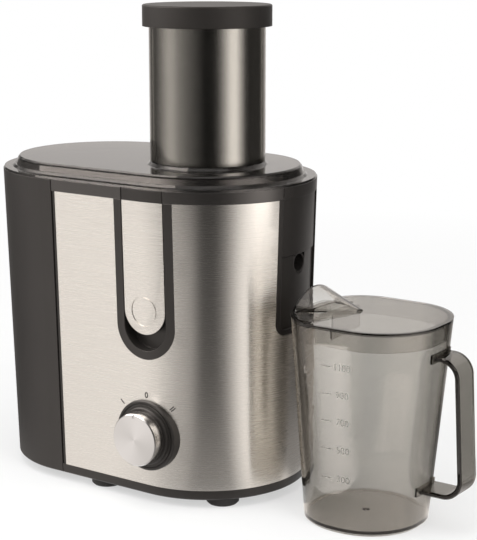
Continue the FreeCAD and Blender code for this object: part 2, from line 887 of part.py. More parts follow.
def brush_holders():
    low = commutator_low + holder_wall
    y0 = commutator_radius + brush_gap + holder_wall
    half = brush_width / 2 + holder_wall
    holder = box(axis_x - half, axis_x + half, y0, y0 + brush_length, lower_bracket_top,
                 low + brush_width + holder_wall)
    holder = holder.cut(box(axis_x - brush_width / 2 - seat_gap, axis_x + brush_width / 2 + seat_gap,
                            y0, y0 + brush_length, low - seat_gap, low + brush_width + seat_gap))
    return Part.makeCompound([holder, spun(holder, 180)])


def motor_shaft():
    return cyl(shaft_radius, shaft_low_z, hub_top_z + grater_thick + nut_height)


def bearing(z0):
    return ring(bearing_radius, shaft_radius + running_gap, z0, z0 + bearing_height)


def cooling_fan():
    low = stator_top_z + coil_overhang + fan_blade_thick
    plate = ring(fan_radius, shaft_radius + pin_gap, low, low + fan_plate)
    blade = box(axis_x + fan_hub_radius, axis_x + fan_radius - fan_blade_thick, -fan_blade_thick / 2,
                fan_blade_thick / 2, low + fan_plate - seat_gap, low + fan_plate + fan_blade_height)
    blade.rotate(vec(axis_x + fan_hub_radius, 0, 0), vec(0, 0, 1), tooth_swirl)
    blades = [spun(blade, 360.0 * index / fan_blades) for index in range(fan_blades)]
    return fuse([plate] + blades)


def shaft_seal():
    low = deck_top - deck_thick
    return ring(deck_bore - seat_gap, shaft_radius + running_gap, low, low + seal_height)


# Cord bushing and lid interlock switches
def cord_bushing():
    y = end_radius(gland_z)
    flange = cyl_y(gland_flange, y + slide_gap, y + gland_proud, gland_x, gland_z)
    sleeve = cyl_y(gland_radius, y - gland_depth, y + gland_proud, gland_x, gland_z)
    return fuse([flange, sleeve]).cut(cyl_y(gland_bore, y - gland_depth, y + gland_proud, gland_x, gland_z))


def interlock_switches():
    top = deck_top - deck_thick
    body = box(axis_x - interlock_width / 2, axis_x + interlock_width / 2, -interlock_y - interlock_depth,
               -interlock_y, top - interlock_height, top)
    return Part.makeCompound(both_sides(body))


# Clear lid with latch tongues, and the feed tube that stands on it
def lid():
    r = rim_radius
    step_z = rim_z + lid_height - lid_lip_height
    top_z = rim_z + lid_height
    slope = lid_inset + lid_slope
    lip_radius = r - slope - lid_lip_step
    lower = stadium_loft([(rim_z, r - lid_inset), (step_z, r - slope)])
    flange_z = rim_z + lid_flange
    flange = stadium_loft([(rim_z, r - lid_flange_edge), (flange_z, r - lid_flange_edge * 2)])
    cove = stadium_loft([(rim_z, r - lid_inset + lid_flange + lid_cove),
                         (flange_z + lid_cove, r - lid_inset)])
    lip = stadium_loft([(step_z, lip_radius), (top_z - lid_edge_round, lip_radius)])
    crown = stadium_loft([(top_z - lid_edge_round, lip_radius), (top_z, lip_radius - lid_edge_round)])
    hollow = stadium_loft([(rim_z, r - lid_inset - lid_wall), (top_z - lid_wall, r - slope - lid_wall)])
    shell = fuse([flange, cove, lower, lip, crown]).cut(hollow)
    shell = shell.cut(cyl(tube_radius + seat_gap, rim_z, top_z))
    return fuse([shell] + both_sides(lid_tongue()))


def lid_tongue():
    outer_y = rim_radius - lid_inset - slide_gap
    lip_top = nose_low_z - lip_drop
    plate = box(axis_x - tongue_half, axis_x + tongue_half, -outer_y, -outer_y + tongue_thick,
                lip_top - lip_thick, rim_z + lid_height / 4)
    plate = plate.common(stadium_loft([(lip_top - lip_thick, rim_radius - lid_inset),
                                       (rim_z + lid_height / 4, rim_radius - lid_inset - lid_slope / 2)]))
    lip = box(axis_x - tongue_half, axis_x + tongue_half, -outer_y - lip_reach, -outer_y + tongue_thick,
              lip_top - lip_thick, lip_top)
    return fuse([plate, lip])


def feed_tube():
    inner = tube_radius - tube_wall
    lid_top = rim_z + lid_height
    return turned([(inner, tube_bottom), (tube_radius, tube_bottom), (tube_radius, lid_top),
                   (tube_radius + tube_collar, lid_top), (tube_radius, lid_top + tube_collar),
                   (tube_radius, tube_top), (inner, tube_top)])


# Pusher: closed tube hanging from a round cap
def pusher_tube():
    outer = tube_radius - tube_wall - pusher_gap
    low = tube_bottom + pusher_lift
    top = tube_top + slide_gap
    return cyl(outer, low, top).cut(cyl(outer - pusher_wall, low + pusher_floor, top))


def pusher_cap():
    low = tube_top + slide_gap
    top = low + cap_height
    spigot = tube_radius - tube_wall - pusher_gap - pusher_wall - seat_gap
    disc = cyl(cap_radius, low, top)
    rim = [edge for edge in disc.Edges if abs(edge.BoundBox.ZMin - top) < seat_gap]
    disc = disc.makeFillet(cap_round, rim)
    return fuse([disc, cyl(spigot, low - spigot_depth, low)])


# Pulp container: the left-hand end of the plan, open at the top towards the filter
def pulp_container():
    top = rim_z - slide_gap
    shell = broken_block(base_z, top).cut(wall_block(base_z + container_floor, top, container_wall))
    shell = left_of(shell, container_x)
    flat = broken_block(base_z, top).common(
        box(container_x - container_wall, container_x, -far, far, base_z, top))
    ledge = left_of(wall_shell(top - ledge_thick, top, 0, ledge_width), container_x)
    body = fuse([shell, flat, ledge])
    body = body.cut(box(container_x - container_wall, container_x, -container_notch_half,
                        container_notch_half, container_notch_z, top))
    return body.cut(box(housing_x - tongue_out - slide_gap, far, -tongue_half_width - slide_gap,
                        tongue_half_width + slide_gap, base_z, base_z + base_floor + slide_gap))


# Juice jug: round base rising to a rounded square mouth, flat towards the spout
def rounded_plan(z, cx, half_x, half_y, near, away):
    x0, x1, y0, y1 = cx - half_x, cx + half_x, jug_y - half_y, jug_y + half_y
    k = 1 - math.sqrt(0.5)
    return Part.Wire([
        line(vec(x0 + near, y0, z), vec(x1 - away, y0, z)),
        arc(vec(x1 - away, y0, z), vec(x1 - away * k, y0 + away * k, z), vec(x1, y0 + away, z)),
        line(vec(x1, y0 + away, z), vec(x1, y1 - away, z)),
        arc(vec(x1, y1 - away, z), vec(x1 - away * k, y1 - away * k, z), vec(x1 - away, y1, z)),
        line(vec(x1 - away, y1, z), vec(x0 + near, y1, z)),
        arc(vec(x0 + near, y1, z), vec(x0 + near * k, y1 - near * k, z), vec(x0, y1 - near, z)),
        line(vec(x0, y1 - near, z), vec(x0, y0 + near, z)),
        arc(vec(x0, y0 + near, z), vec(x0 + near * k, y0 + near * k, z), vec(x0 + near, y0, z))])


def jug_plan(z, inset):
    share = z / jug_height

    def blend(low, high):
        return low + (high - low) * share

    return rounded_plan(z, blend(jug_x, jug_x + jug_shift_x), blend(jug_base_radius, jug_top_half_x) - inset,
                        blend(jug_base_radius, jug_top_half_y) - inset,
                        blend(jug_base_corner, jug_near_corner) - inset,
                        blend(jug_base_corner, jug_far_corner) - inset)


def jug_block(z0, z1, inset):
    return Part.makeLoft([jug_plan(z0, inset), jug_plan(z1, inset)], True, True)


jug_rim_z = jug_height - jug_lid_plate - slide_gap


def jug_body():
    outer = Part.makeLoft([jug_plan(0, jug_edge), jug_plan(jug_edge, 0), jug_plan(jug_rim_z, 0)], True, True)
    body = outer.cut(jug_block(jug_floor + jug_foot_rise, jug_rim_z, jug_wall))
    body = body.cut(jug_block(0, jug_foot_rise, jug_edge + jug_foot_wall))
    floor_top = jug_floor + jug_foot_rise
    gate = turned([(0, floor_top - jug_edge), (gate_radius, floor_top - jug_edge), (gate_radius, floor_top),
                   (gate_radius / 2, floor_top + gate_height), (0, floor_top + gate_height)], jug_x, jug_y)
    return fuse([body, gate])


def handle_loop(shrink):
    left = jug_x
    right = handle_outer_x - shrink
    low, high = handle_low_z + shrink, handle_high_z - shrink
    corner = handle_corner - shrink
    y0 = handle_y - handle_width / 2
    k = corner * (1 - math.sqrt(0.5))
    foot = right + handle_lean
    edges = [
        line(vec(left, y0, low), vec(foot - corner, y0, low)),
        arc(vec(foot - corner, y0, low), vec(foot - k, y0, low + k), vec(foot, y0, low + corner)),
        line(vec(foot, y0, low + corner), vec(right, y0, high - corner)),
        arc(vec(right, y0, high - corner), vec(right - k, y0, high - k),
                 vec(right - corner, y0, high)),
        line(vec(right - corner, y0, high), vec(left, y0, high)),
        line(vec(left, y0, high), vec(left, y0, low))]
    return Part.Face(Part.Wire(edges)).extrude(vec(0, handle_width, 0))


def jug_handle():
    loop = handle_loop(0).cut(handle_loop(handle_thick))
    long_edges = [edge for edge in loop.Edges if edge.BoundBox.YLength < seat_gap
                  and edge.BoundBox.XMax > jug_x + seat_gap]
    loop = loop.makeChamfer(handle_edge, long_edges)
    pads = [box(jug_x, handle_outer_x - handle_corner, handle_y - handle_width / 2 - pad_width,
                handle_y + handle_width / 2 + pad_width, z - pad_thick, z + handle_thick + pad_thick)
            for z in (handle_low_z, handle_high_z - handle_thick)]
    collar = jug_block(0, jug_height, -glue_gap - pad_thick)
    loop = fuse([loop] + [pad.common(collar) for pad in pads])
    return loop.cut(jug_block(0, jug_height, -glue_gap))


def hood_arch(x, half, height, low_z):
    y = jug_y + hood_shift
    bow = arc(vec(x, y - half, low_z), vec(x, y, low_z + height), vec(x, y + half, low_z))
    return Part.Wire([bow, line(vec(x, y + half, low_z), vec(x, y - half, low_z))])


def hood_form(shrink, grow_x):
    mouth_x = jug_x + jug_shift_x - jug_top_half_x + hood_setback
    tip_x = mouth_x + hood_length
    low = jug_height - jug_lid_plate / 2
    return Part.makeLoft([
        hood_arch(mouth_x - grow_x, hood_half - shrink, hood_height - shrink + jug_lid_plate / 2, low),
        hood_arch(tip_x - shrink, hood_tip_half - shrink,
                  hood_tip_height - shrink / 2 + jug_lid_plate / 2, low)], True, True)


def jug_lid():
    rim = jug_plan(jug_height, 0)
    lower = jug_plan(jug_height - jug_lid_plate, 0)
    plate = Part.makeLoft([lower, rim], True, True)
    low = jug_height - jug_lid_plate - jug_lid_skirt
    top = jug_height - jug_lid_plate
    gap = jug_wall + jug_lid_lip
    skirt = jug_block(low, top, gap).cut(jug_block(low, top, gap + jug_lid_wall))
    hood_y = jug_y + hood_shift
    froth_x = jug_x + jug_shift_x - jug_top_half_x + froth_set
    froth = box(froth_x, froth_x + froth_wall, hood_y - froth_half, hood_y + froth_half,
                top - froth_depth, top + seat_gap)
    body = fuse([plate, skirt, froth, hood_form(0, 0)])
    body = body.cut(hood_form(hood_wall, hood_wall))
    mouth_x = jug_x + jug_shift_x - jug_top_half_x + hood_setback
    opening = box(mouth_x + gap + jug_lid_wall, mouth_x + hood_length / 2, hood_y - hood_opening_half,
                  hood_y + hood_opening_half, top - seat_gap, jug_height)
    return body.cut(opening)


nodes = {
    "base_plate": base_plate(),
    "rubber_feet": rubber_feet(),
    "base_screws": base_screws(),
    "motor_housing": motor_housing(),
    "steel_wrap": steel_wrap(),
    "front_rim": front_rim(),
    "rear_rim": rear_rim(),
    "knob_ring": knob_ring(),
    "knob_cap": knob_cap(),
    "knob_core": knob_core(),
    "knob_shaft": knob_shaft(),
    "rotary_switch": rotary_switch(),
    "juice_collector": juice_collector(),
    "filter_hub": filter_hub(),
    "filter_basket": filter_basket(),
    "filter_rim": filter_rim(),
    "grater_disc": grater_disc(),
    "filter_nut": filter_nut(),
    "drive_coupling": drive_coupling(),
    "motor_mounts": motor_mounts(),
    "lower_bracket": lower_bracket(),
    "upper_bracket": upper_bracket(),
    "stator_core": stator_core(),
    "field_coils": field_coils(),
    "rotor_core": rotor_core(),
    "commutator": commutator(),
    "carbon_brushes": carbon_brushes(),
    "brush_holders": brush_holders(),
    "motor_shaft": motor_shaft(),
    "lower_bearing": bearing(lower_bearing_z),
    "upper_bearing": bearing(upper_bearing_z),
    "cooling_fan": cooling_fan(),
    "shaft_seal": shaft_seal(),
    "cord_bushing": cord_bushing(),
    "interlock_switches": interlock_switches(),
    "lid": lid(),
    "feed_tube": feed_tube(),
    "pusher_tube": pusher_tube(),
    "pusher_cap": pusher_cap(),
    "pulp_container": pulp_container(),
    "jug_body": jug_body(),
    "jug_handle": jug_handle(),
    "jug_lid": jug_lid(),
}
latch_pieces = {"tray": latch_tray(), "lever": latch_lever(), "strip": latch_strip(),
                "pin": pivot(pivot_radius), "spring": latch_spring()}
for piece, shape in latch_pieces.items():
    nodes["front_latch_" + piece] = shape
    nodes["rear_latch_" + piece] = rear(shape)
for piece in ("jug_body", "jug_handle", "jug_lid"):
    nodes[piece].translate(vec(0, 0, floor_z))

# The origin is the bottom centre of the whole set's box
bounds = FreeCAD.BoundBox()
for shape in nodes.values():
    bounds.add(shape.optimalBoundingBox(False, False))
shift = vec(-bounds.Center.x, -bounds.Center.y, -bounds.ZMin)
print("shift %.4f %.4f %.4f" % (shift.x, shift.y, shift.z))

os.makedirs("parts", exist_ok=True)
for name, shape in nodes.items():
    shape.translate(shift)
    shape.exportStep("parts/%s.step" % name)
    print("%-22s solids %d valid %s volume %.0f" % (name, len(shape.Solids), shape.isValid(), shape.Volume))
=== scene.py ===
import json
import math
import bmesh
import bpy
from mathutils import Matrix, Vector


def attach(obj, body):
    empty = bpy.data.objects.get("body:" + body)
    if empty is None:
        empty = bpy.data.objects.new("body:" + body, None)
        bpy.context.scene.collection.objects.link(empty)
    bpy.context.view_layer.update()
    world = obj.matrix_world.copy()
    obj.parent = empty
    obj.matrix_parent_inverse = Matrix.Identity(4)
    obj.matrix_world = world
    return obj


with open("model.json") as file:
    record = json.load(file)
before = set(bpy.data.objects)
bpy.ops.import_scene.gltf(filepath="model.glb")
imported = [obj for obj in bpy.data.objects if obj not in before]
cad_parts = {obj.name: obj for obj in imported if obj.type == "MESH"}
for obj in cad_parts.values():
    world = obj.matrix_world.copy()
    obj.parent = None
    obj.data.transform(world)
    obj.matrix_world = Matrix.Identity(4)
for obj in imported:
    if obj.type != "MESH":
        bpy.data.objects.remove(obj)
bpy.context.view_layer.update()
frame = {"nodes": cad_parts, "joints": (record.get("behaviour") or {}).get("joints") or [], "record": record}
nodes = frame["nodes"]
joints = {joint["name"]: joint for joint in frame["joints"]}
motorAxis = Vector(joints["filter_spin"]["pos_m"])
print("frame loaded:", len(nodes), "nodes")


# one wrapped socket: sums and products of two sockets add Math nodes
class Sock:
    def __init__(self, socket):
        self.socket = socket

    @staticmethod
    def make(tree, kind, settings=None, inputs=None, output=0):
        node = tree.nodes.new(kind)
        for key, value in (settings or {}).items():
            if key == "stops":
                Sock.fillRamp(node.color_ramp, value)
            else:
                setattr(node, key, value)
        for key, value in (inputs or {}).items():
            if isinstance(value, Sock):
                tree.links.new(value.socket, node.inputs[key])
            else:
                node.inputs[key].default_value = value
        return Sock(node.outputs[output])

    @staticmethod
    def fillRamp(ramp, stops):
        while len(ramp.elements) < len(stops):
            ramp.elements.new(1.0)
        for element, (place, colour) in zip(ramp.elements, stops):
            element.position = place
            element.color = colour

    def maths(self, operation, other, flip=False):
        pair = {0: other, 1: self} if flip else {0: self, 1: other}
        return Sock.make(self.socket.id_data, "ShaderNodeMath", {"operation": operation}, pair)

    def __add__(self, other):
        return self.maths("ADD", other)

    def __radd__(self, other):
        return self.maths("ADD", other, True)

    def __sub__(self, other):
        return self.maths("SUBTRACT", other)

    def __rsub__(self, other):
        return self.maths("SUBTRACT", other, True)

    def __mul__(self, other):
        return self.maths("MULTIPLY", other)

    def __rmul__(self, other):
        return self.maths("MULTIPLY", other, True)

    def __truediv__(self, other):
        return self.maths("DIVIDE", other)

    def __pow__(self, other):
        return self.maths("POWER", other)


# a new material with an empty node tree
def newFinish(name):
    material = bpy.data.materials.new(name)
    material.use_nodes = True
    material.node_tree.nodes.clear()
    return material, material.node_tree


# the output node that ends a tree
def showSurface(tree, surface, kind="ShaderNodeOutputMaterial"):
    output = tree.nodes.new(kind)
    tree.links.new(surface.socket, output.inputs["Surface"])
    return output


def closeFinish(material, tree, inputs):
    showSurface(tree, Sock.make(tree, "ShaderNodeBsdfPrincipled", {}, inputs))
    return material


def objectPlace(tree, centre=(0, 0, 0), scale=(1, 1, 1)):
    place = Sock.make(tree, "ShaderNodeTexCoord", output="Object")
    return Sock.make(tree, "ShaderNodeMapping", {"vector_type": "TEXTURE"},
                     {"Vector": place, "Location": centre, "Scale": scale})


def noise(tree, place, scale, detail=3.0):
    inputs = {"Vector": place, "Scale": scale, "Detail": detail}
    return Sock.make(tree, "ShaderNodeTexNoise", {}, inputs, "Fac")


def twoTone(tree, factor, dark, light):
    return Sock.make(tree, "ShaderNodeMix", {"data_type": "RGBA"},
                     {"Factor": factor, "A": (*dark, 1), "B": (*light, 1)}, "Result")


def bump(tree, height, strength, distance, normal=None):
    inputs = {"Height": height, "Strength": strength, "Distance": distance}
    if normal:
        inputs["Normal"] = normal
    return Sock.make(tree, "ShaderNodeBump", {}, inputs)


# moulded plastic: fine spark-eroded grain and a slight cloud in colour and gloss
moulded = {"edge": 0.0007, "edgeSamples": 6, "grain": 1400.0, "grainDetail": 2.0, "grainDepth": 0.00006,
           "grainStrength": 0.12, "cloud": 16.0, "cloudDetail": 4.0, "polish": 0.04, "cloudDull": 0.06,
           "grainDull": 0.03, "sheen": (1.0, 0.94, 0.90, 1)}


def plasticFinish(name, dark, light, rough, shine=0.5):
    material, tree = newFinish(name)
    place = objectPlace(tree)
    grain = noise(tree, place, moulded["grain"], moulded["grainDetail"])
    cloud = noise(tree, place, moulded["cloud"], moulded["cloudDetail"])
    rounded = Sock.make(tree, "ShaderNodeBevel", {"samples": moulded["edgeSamples"]},
                        {"Radius": moulded["edge"]})
    return closeFinish(material, tree, {
        "Base Color": twoTone(tree, cloud, dark, light),
        "Roughness": rough - moulded["polish"] + cloud * moulded["cloudDull"] + grain * moulded["grainDull"],
        "Specular IOR Level": shine,
        "Specular Tint": moulded["sheen"],
        "Normal": bump(tree, grain, moulded["grainStrength"], moulded["grainDepth"], rounded)})


# brushed sheet: long level scratches, so the grain is fine in Z and drawn out along the wrap
brushed = {"lines": 1.0, "fine": (0.05, 0.05, 0.00022), "fineDetail": 2.0, "coarse": (0.12, 0.12, 0.0011),
           "coarseDetail": 3.0, "coarseShare": 0.1, "polish": 0.02, "scratchDull": 0.04, "depth": 0.00001,
           "strength": 0.015, "spread": 0.8, "spreadTurn": 0.25}


def brushedFinish(name, dark, light, rough):
    material, tree = newFinish(name)
    finePlace = objectPlace(tree, scale=brushed["fine"])
    fine = noise(tree, finePlace, brushed["lines"], brushed["fineDetail"])
    coarsePlace = objectPlace(tree, scale=brushed["coarse"])
    coarse = noise(tree, coarsePlace, brushed["lines"], brushed["coarseDetail"])
    scratch = fine * (1.0 - brushed["coarseShare"]) + coarse * brushed["coarseShare"]
    return closeFinish(material, tree, {
        "Base Color": twoTone(tree, scratch, dark, light),
        "Metallic": 1.0,
        "Roughness": rough - brushed["polish"] + scratch * brushed["scratchDull"],
        "Anisotropic": brushed["spread"],
        "Anisotropic Rotation": brushed["spreadTurn"],
        "Normal": bump(tree, scratch, brushed["strength"], brushed["depth"])})


# spun aluminium: rings turned about the dial's own axis, and a painted sheen in the base colour: two pale
# and two dark fans that stand in for the conic highlight of turned metal. A wave node runs through
# "waveRate" radians for each unit of length
spun = {"spacing": 0.001508, "waveRate": 20.0, "wobble": 0.4, "wobbleDetail": 2.0, "ringDepth": 0.00003,
        "ringStrength": 0.6, "paintedSheenFans": 2.0, "lean": 0.6, "cloud": 90.0, "cloudShare": 0.2, "cloudDull": 0.06}


def spunFinish(name, dark, light, rough, centre):
    material, tree = newFinish(name)
    place = objectPlace(tree, centre)
    rings = Sock.make(tree, "ShaderNodeTexWave", {"wave_type": "RINGS", "rings_direction": "Y"}, {
        "Vector": place, "Scale": 2.0 * math.pi / (spun["waveRate"] * spun["spacing"]),
        "Distortion": spun["wobble"], "Detail": spun["wobbleDetail"]})
    cloud = noise(tree, place, spun["cloud"])
    split = Sock.make(tree, "ShaderNodeSeparateXYZ", {}, {"Vector": place}, "X")
    turn = split.maths("ARCTAN2", Sock(split.socket.node.outputs["Z"]))
    # painted highlight: the fans are a sheen painted into the base colour by angle about the dial's centre
    sheen = (turn * spun["paintedSheenFans"] + spun["lean"]).maths("SINE", 0.0) * 0.5 + 0.5
    # the painted sheen mixed with a random cloud tone
    shade = sheen * (1.0 - spun["cloudShare"]) + cloud * spun["cloudShare"]
    return closeFinish(material, tree, {
        "Base Color": twoTone(tree, shade, dark, light),
        "Metallic": 1.0,
        "Roughness": rough + cloud * spun["cloudDull"],
        "Normal": bump(tree, rings, spun["ringStrength"], spun["ringDepth"])})


# smoked clear moulding: real glass-like walls whose tint builds up with the depth of plastic looked through,
# and a painted shade that darkens the base colour from "facing" to "edge" where a wall is seen edge-on
smoked = {"bend": 1.49, "flow": 26.0, "flowDetail": 2.0, "flowShade": 0.05, "flowDull": 0.02, "paintedEdgeShade": 2.5,
          "tint": (0.15, 0.10, 0.01, 1), "density": 226.0, "shade": (0.80, 0.78, 0.75, 1)}
noTint = (1.0, 1.0, 1.0)


def smokedFinish(name, rough, facing=noTint, edge=noTint, clear=1.0):
    material, tree = newFinish(name)
    flow = noise(tree, objectPlace(tree), smoked["flow"], smoked["flowDetail"])
    # painted shade: Layer Weight's Facing darkens the base colour towards "edge" where a wall turns away
    # from view
    paintedEdgeShade = Sock.make(tree, "ShaderNodeLayerWeight", {}, {"Blend": 0.5}, "Facing") ** smoked["paintedEdgeShade"]
    glass = Sock.make(tree, "ShaderNodeBsdfPrincipled", {}, {
        "Base Color": twoTone(tree, paintedEdgeShade + flow * smoked["flowShade"], facing, edge),
        "Roughness": rough + flow * smoked["flowDull"],
        "IOR": smoked["bend"],
        "Transmission Weight": clear,
        "Specular Tint": moulded["sheen"]})
    through = Sock.make(tree, "ShaderNodeBsdfTransparent", {}, {"Color": smoked["shade"]})
    lampRay = Sock.make(tree, "ShaderNodeLightPath", output="Is Shadow Ray")
    surface = Sock.make(tree, "ShaderNodeMixShader", {}, {0: lampRay, 1: glass, 2: through})
    depth = Sock.make(tree, "ShaderNodeVolumeAbsorption", {},
                      {"Color": smoked["tint"], "Density": smoked["density"]})
    output = showSurface(tree, surface)
    tree.links.new(depth.socket, output.inputs["Volume"])
    return material


# plain metals: the pusher's sleeve and the pieces inside the machine, with a little unevenness
metal = {"cloud": 120.0, "cloudDetail": 4.0, "uneven": 0.12}


def metalFinish(name, dark, light, rough, uneven=metal["uneven"]):
    material, tree = newFinish(name)
    cloud = noise(tree, objectPlace(tree), metal["cloud"], metal["cloudDetail"])
    return closeFinish(material, tree, {
        "Base Color": twoTone(tree, cloud, dark, light),
        "Metallic": 1.0,
        "Roughness": rough + cloud * uneven})


dialCentre = tuple(joints["dial_turn"]["pos_m"])
finishes = {
    "black_plastic": plasticFinish("blackPlastic", (0.014, 0.0125, 0.0115), (0.020, 0.018, 0.0165), 0.36),
    "brushed_steel": brushedFinish("brushedSteel", (0.70, 0.672, 0.63), (0.745, 0.72, 0.678), 0.27),
    "stainless_mesh": metalFinish("stainlessMesh", (0.55, 0.55, 0.55), (0.72, 0.72, 0.71), 0.28),
    # the spun knob's two tones are the dark and pale fans of its painted sheen
    "knob_aluminium": spunFinish("spunAluminium", (0.65, 0.634, 0.62), (0.79, 0.773, 0.762), 0.16,
                                 dialCentre),
    "smoked_clear": smokedFinish("smokedClear", 0.01),
    # the jug's and handle's "edge" tones are painted shade, darker where their walls are seen edge-on
    "jug": smokedFinish("smokedJug", 0.01, noTint, (0.30, 0.29, 0.27)),
    "lid": smokedFinish("smokedLid", 0.01, (0.40, 0.375, 0.35), (0.40, 0.375, 0.35), 0.98),
    "handle": smokedFinish("smokedHandle", 0.01, (0.62, 0.61, 0.595), (0.28, 0.27, 0.25)),
    "cap": plasticFinish("capPlastic", (0.014, 0.0125, 0.0115), (0.020, 0.018, 0.0165), 0.46, 0.25),
    "rim": plasticFinish("glossRim", (0.016, 0.0145, 0.0135), (0.022, 0.020, 0.0185), 0.20, 0.9),
    "pusher_sleeve": metalFinish("pusherSleeve", (0.865, 0.885, 0.895), (0.885, 0.905, 0.915), 0.12, 0.01),
    "rubber": plasticFinish("footRubber", (0.016, 0.016, 0.016), (0.026, 0.026, 0.025), 0.70),
    "zinc_steel": metalFinish("zincSteel", (0.50, 0.50, 0.50), (0.66, 0.66, 0.65), 0.30),
    "laminated_steel": metalFinish("laminatedSteel", (0.22, 0.22, 0.23), (0.34, 0.34, 0.34), 0.45),
    "copper": metalFinish("copperWinding", (0.60, 0.28, 0.14), (0.78, 0.42, 0.24), 0.32),
    "die_cast": metalFinish("dieCast", (0.44, 0.44, 0.45), (0.58, 0.58, 0.58), 0.50),
    "carbon": plasticFinish("pressedCarbon", (0.020, 0.020, 0.020), (0.032, 0.032, 0.032), 0.60)}
slotOf = {part["node"]: part["material_slot"] for part in frame["record"]["subparts"]}
ownFinish = {"lid": "lid", "jug_body": "jug", "jug_handle": "handle", "pusher_cap": "cap",
             "front_rim": "rim", "rear_rim": "rim"}
for name, piece in nodes.items():
    piece.data.materials.clear()
    piece.data.materials.append(finishes[ownFinish.get(name, slotOf[name])])
print("finishes on", len(nodes), "nodes")


# floor and light: a pale sweep that reads white to the camera and keeps the contact shadow
stage = {"floorSize": 8.0, "floorParts": 2, "paper": 3.0, "dark": (0.86, 0.86, 0.855),
         "light": (0.89, 0.89, 0.885), "rough": 0.9, "nearGlow": 0.55, "fadeFrom": 0.45, "fadeTo": 1.3,
         "worldLight": 0.55}


# one for rays that should find a white background: from the camera, or by way of a clear or polished face
def seenDirectly(tree):
    seen = Sock.make(tree, "ShaderNodeLightPath", output="Is Camera Ray")
    path = seen.socket.node
    seen = seen.maths("MAXIMUM", Sock(path.outputs["Is Transmission Ray"]))
    return seen.maths("MAXIMUM", Sock(path.outputs["Is Glossy Ray"]))


def layFloor():
    mesh = bpy.data.meshes.new("floor")
    floorMesh = bmesh.new()
    bmesh.ops.create_grid(floorMesh, x_segments=stage["floorParts"], y_segments=stage["floorParts"],
                          size=stage["floorSize"])
    floorMesh.to_mesh(mesh)
    floorMesh.free()
    floor = bpy.data.objects.new("floor", mesh)
    bpy.context.scene.collection.objects.link(floor)
    material, tree = newFinish("paleFloor")
    place = objectPlace(tree)
    paper = noise(tree, place, stage["paper"])
    lit = Sock.make(tree, "ShaderNodeBsdfPrincipled", {}, {
        "Base Color": twoTone(tree, paper, stage["dark"], stage["light"]), "Roughness": stage["rough"]})
    white = Sock.make(tree, "ShaderNodeEmission", {}, {"Color": (1, 1, 1, 1), "Strength": 1.0})
    away = Sock.make(tree, "ShaderNodeVectorMath", {"operation": "LENGTH"}, {0: place}, "Value")
    fade = Sock.make(tree, "ShaderNodeMapRange", {}, {
        "Value": away, "From Min": stage["fadeFrom"], "From Max": stage["fadeTo"],
        "To Min": stage["nearGlow"], "To Max": 1.0})
    surface = Sock.make(tree, "ShaderNodeMixShader", {}, {0: seenDirectly(tree) * fade, 1: lit, 2: white})
    showSurface(tree, surface)
    mesh.materials.append(material)


def lightWorld():
    world = bpy.data.worlds.new("studio")
    bpy.context.scene.world = world
    world.use_nodes = True
    tree = world.node_tree
    tree.nodes.clear()
    seen = seenDirectly(tree)
    strength = seen + (1.0 - seen) * stage["worldLight"]
    back = Sock.make(tree, "ShaderNodeBackground", {}, {"Color": strength, "Strength": 1.0})
    showSurface(tree, back, "ShaderNodeOutputWorld")


# warm grey and white cards seen only in reflections: one lies round the machine and turns up at its edge,
# and two stand in a wider ring. Each has its tone by degrees from the front. "lift" is the tone that a card
# doesn't fall below close to the machine, and "beyond" is what it gains when seen through clear plastic
cards = {
    "lowCards": {
        "profile": [(0.10, 0.0008), (0.40, 0.0008), (0.40, 0.17)], "lift": 0.30, "beyond": 0.4,
        "tones": {
            -180: 0.62, -165: 1.0, -125: 1.0, -108: 0.25, -84: 0.15, -67: 0.45, -50: 1.0, -30: 1.02,
            -15: 0.84, 3: 0.57, 12: 0.48, 17: 0.43, 21: 0.34, 26: 0.20, 30: 0.09, 43: 0.09, 53: 0.30,
            61: 0.68, 70: 1.12, 85: 1.36, 97: 1.25, 106: 0.45, 120: 0.06, 138: 0.09, 158: 0.5, 180: 0.62}},
    "highCards": {
        "profile": [(0.80, 0.02), (0.80, 0.44)], "lift": 0.0, "beyond": 0.0,
        "tones": {
            -180: 0.40, -165: 0.88, -150: 0.88, -125: 0.80, -108: 0.16, -88: 0.18, -72: 0.46, -58: 0.80,
            -48: 0.98, -38: 0.88, -25: 0.52, -8: 0.29, 8: 0.15, 22: 0.06, 30: 0.02, 46: 0.02, 54: 0.08,
            62: 0.32, 72: 0.90, 84: 1.90, 95: 2.05, 106: 1.00, 118: 0.15, 130: 0.05, 145: 0.08, 160: 0.06,
            172: 0.10, 180: 0.40}},
    "topCards": {
        "profile": [(0.80, 0.44), (0.80, 2.20)], "lift": 0.0, "beyond": 0.0,
        "tones": {
            -180: 1.0, -125: 1.0, -95: 0.5, -70: 5.0, -25: 5.5, -5: 2.4, 12: 0.5, 25: 0.1, 45: 0.1, 55: 1.0,
            70: 2.6, 95: 3.0, 112: 0.8, 125: 0.2, 150: 0.6, 180: 1.0}}}
cardShade = {"sides": 96, "colour": (1.0, 0.955, 0.922), "paleFrom": 0.18, "paleTo": 0.42}


def standCards():
    for name, card in cards.items():
        ringMesh = bmesh.new()
        corners = [ringMesh.verts.new((radius, 0, up)) for radius, up in card["profile"]]
        for first, second in zip(corners, corners[1:]):
            ringMesh.edges.new((first, second))
        bmesh.ops.spin(ringMesh, geom=ringMesh.verts[:] + ringMesh.edges[:], cent=(0, 0, 0), axis=(0, 0, 1),
                       angle=2.0 * math.pi, steps=cardShade["sides"], use_merge=True)
        bmesh.ops.recalc_face_normals(ringMesh, faces=ringMesh.faces)
        bmesh.ops.translate(ringMesh, vec=(motorAxis.x, motorAxis.y, 0), verts=ringMesh.verts)
        mesh = bpy.data.meshes.new(name)
        ringMesh.to_mesh(mesh)
        ringMesh.free()
        mesh.materials.append(cardFinish(name, card))
        ring = bpy.data.objects.new(name, mesh)
        bpy.context.scene.collection.objects.link(ring)
        ring.visible_camera = ring.visible_diffuse = ring.visible_shadow = False


